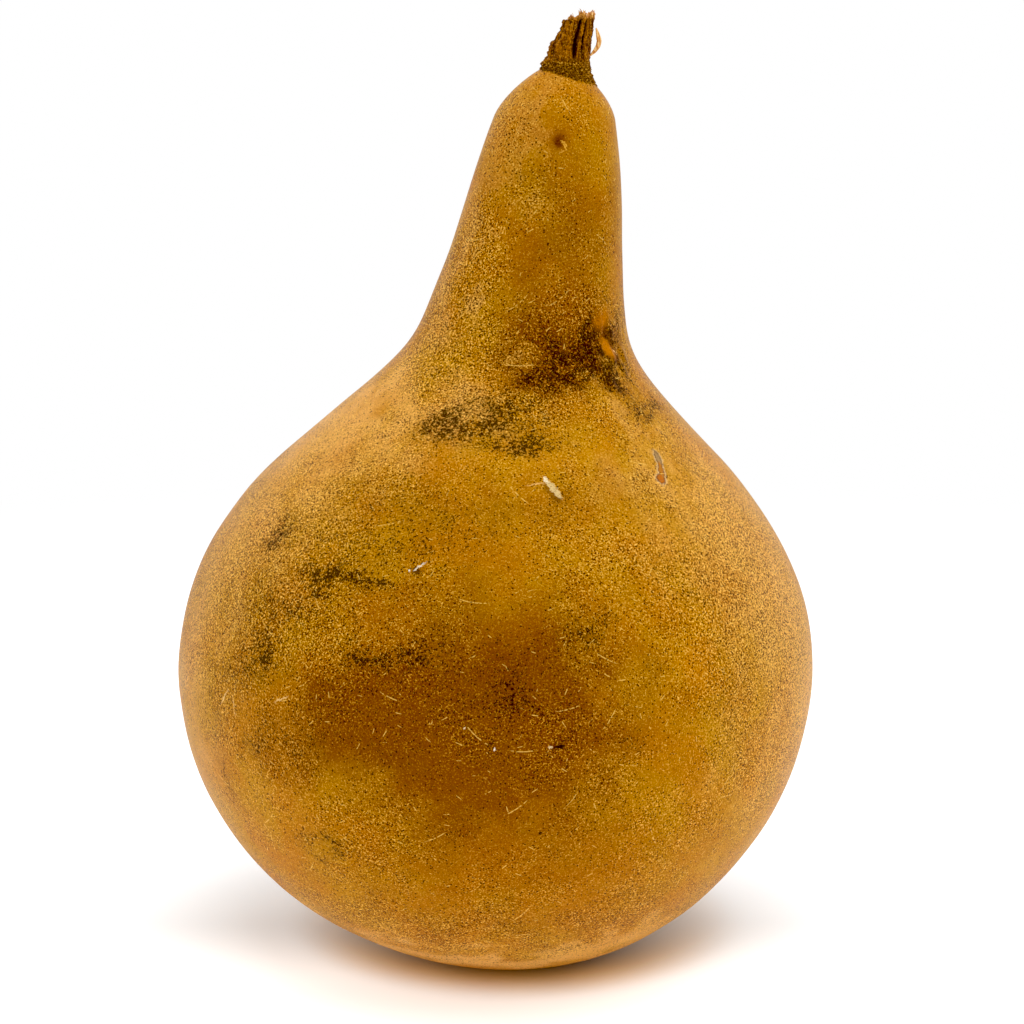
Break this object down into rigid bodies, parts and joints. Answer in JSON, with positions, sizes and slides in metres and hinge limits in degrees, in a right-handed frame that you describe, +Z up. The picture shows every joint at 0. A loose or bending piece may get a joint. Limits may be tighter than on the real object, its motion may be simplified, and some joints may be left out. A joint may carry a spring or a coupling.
{
  "type": "dried bottle gourd",
  "caption": "Dried bottle gourd with a round belly, a leaning tapered neck and a short dry ribbed stem, standing on its own base as an ornament or a blank for craft work.",
  "frame": {"origin": "middle of the small flat on the underside that the gourd stands on", "axes": "+Z up through the belly towards the stem, +X towards the side the neck leans to, +Y from the front to the rear"},
  "size_m": [0.16, 0.156, 0.2387],
  "materials": {
    "dried_skin": "hard dried rind, satin sheen, golden ochre mottled with brown stains, fine dark pits and pale scratches",
    "dry_stem": "matt, dry and fibrous, dark brown with near-black grooves and paler torn edges"
  },
  "bodies": {
    "root": {"gourd_body": "dried_skin", "stem_stub": "dry_stem"}
  },
  "joints": []
}
